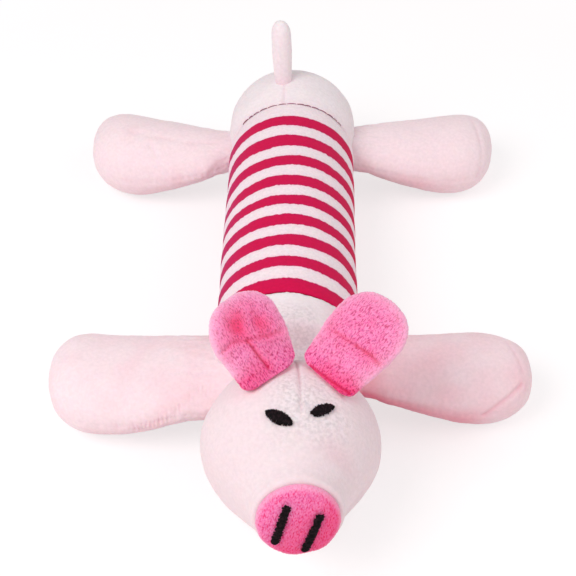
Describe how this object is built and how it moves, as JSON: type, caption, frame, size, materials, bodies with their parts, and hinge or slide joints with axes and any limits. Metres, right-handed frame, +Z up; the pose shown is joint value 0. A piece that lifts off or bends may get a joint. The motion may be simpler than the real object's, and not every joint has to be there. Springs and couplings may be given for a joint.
{
  "type": "squeaky dog toy",
  "caption": "Stuffed plush pig dog toy lying splayed on its belly, with a striped knit sleeve, nodding head, folding terry ears, floppy paddle legs, a tail and a sprung squeaker inside.",
  "frame": {"origin": "middle of the toy's base, on the surface that it lies on", "axes": "+Z up, +Y from the snout towards the tail, +X towards the toy's own left"},
  "size_m": [0.1978, 0.2786, 0.0873],
  "materials": {
    "pale_plush": "short pile plush",
    "bright_terry": "looped terry",
    "striped_knit": "smooth knit, crimson and white stripes around the body",
    "black_thread": "satin stitch embroidery",
    "fibre_filling": "loose fibre",
    "squeaker_plastic": "moulded"
  },
  "bodies": {
    "torso": {"chest_panel": "pale_plush", "striped_sleeve": "striped_knit", "rump_panel_left": "pale_plush", "rump_panel_right": "pale_plush", "torso_filling_front": "fibre_filling", "torso_filling_rear": "fibre_filling", "squeaker_base": "squeaker_plastic", "squeaker_bellows": "squeaker_plastic", "squeaker_whistle": "squeaker_plastic"},
    "squeaker_top": {"squeaker_cap": "squeaker_plastic"},
    "squeaker_tongue": {"squeaker_reed": "squeaker_plastic"},
    "head": {"head_panel_left": "pale_plush", "head_panel_right": "pale_plush", "head_filling": "fibre_filling", "snout_disc": "bright_terry", "nostril_left": "black_thread", "nostril_right": "black_thread", "eye_left": "black_thread", "eye_right": "black_thread"},
    "ear_left": {"ear_left_front_panel": "bright_terry", "ear_left_back_panel": "bright_terry"},
    "ear_right": {"ear_right_front_panel": "bright_terry", "ear_right_back_panel": "bright_terry"},
    "tail": {"tail_cover": "pale_plush", "tail_filling": "fibre_filling"},
    "leg_front_left": {"leg_front_left_upper_panel": "pale_plush", "leg_front_left_lower_panel": "pale_plush", "leg_front_left_filling": "fibre_filling"},
    "leg_front_right": {"leg_front_right_upper_panel": "pale_plush", "leg_front_right_lower_panel": "pale_plush", "leg_front_right_filling": "fibre_filling"},
    "leg_rear_left": {"leg_rear_left_upper_panel": "pale_plush", "leg_rear_left_lower_panel": "pale_plush", "leg_rear_left_filling": "fibre_filling"},
    "leg_rear_right": {"leg_rear_right_upper_panel": "pale_plush", "leg_rear_right_lower_panel": "pale_plush", "leg_rear_right_filling": "fibre_filling"}
  },
  "joints": [
    {"name": "head_nod", "type": "hinge", "parent": "torso", "child": "head", "pos_m": [-0.0011, -0.06364, 0.0285], "axis": [-0.9963, -0.0854, 0], "range_deg": [-15, 15], "stiffness_Nm_per_rad": 0.3},
    {"name": "ear_left_fold", "type": "hinge", "parent": "head", "child": "ear_left", "pos_m": [0.0161, -0.0849, 0.06527], "axis": [0.6845, -0.723, -0.0935], "range_deg": [-35, 45], "stiffness_Nm_per_rad": 0.02},
    {"name": "ear_right_fold", "type": "hinge", "parent": "head", "child": "ear_right", "pos_m": [-0.00687, -0.08601, 0.06769], "axis": [0.7186, 0.6955, 0.0035], "range_deg": [-35, 45], "stiffness_Nm_per_rad": 0.02},
    {"name": "leg_front_left_flop", "type": "hinge", "parent": "torso", "child": "leg_front_left", "pos_m": [0.03593, -0.04224, 0.024], "axis": [0, -1, 0], "range_deg": [-50, 65]},
    {"name": "leg_front_right_flop", "type": "hinge", "parent": "torso", "child": "leg_front_right", "pos_m": [-0.04115, -0.05024, 0.024], "axis": [0, 1, 0], "range_deg": [-50, 65]},
    {"name": "leg_rear_left_flop", "type": "hinge", "parent": "torso", "child": "leg_rear_left", "pos_m": [0.03593, 0.10646, 0.024], "axis": [0, -1, 0], "range_deg": [-50, 65]},
    {"name": "leg_rear_right_flop", "type": "hinge", "parent": "torso", "child": "leg_rear_right", "pos_m": [-0.03813, 0.10186, 0.024], "axis": [0, 1, 0], "range_deg": [-50, 65]},
    {"name": "tail_swing", "type": "hinge", "parent": "torso", "child": "tail", "pos_m": [-0.00536, 0.11436, 0.06082], "axis": [0.9981, 0, 0.061], "range_deg": [-50, 50], "stiffness_Nm_per_rad": 0.02},
    {"name": "squeaker_press", "type": "slide", "parent": "torso", "child": "squeaker_top", "axis": [0, 0, -1], "range_m": [0, 0.008], "stiffness_N_per_m": 300, "deforming": ["squeaker_bellows"]},
    {"name": "reed_flutter", "type": "hinge", "parent": "torso", "child": "squeaker_tongue", "pos_m": [-0.0008, 0.03111, 0.0122], "axis": [0, 1, 0], "range_deg": [0, 6], "stiffness_Nm_per_rad": 0.001}
  ]
}
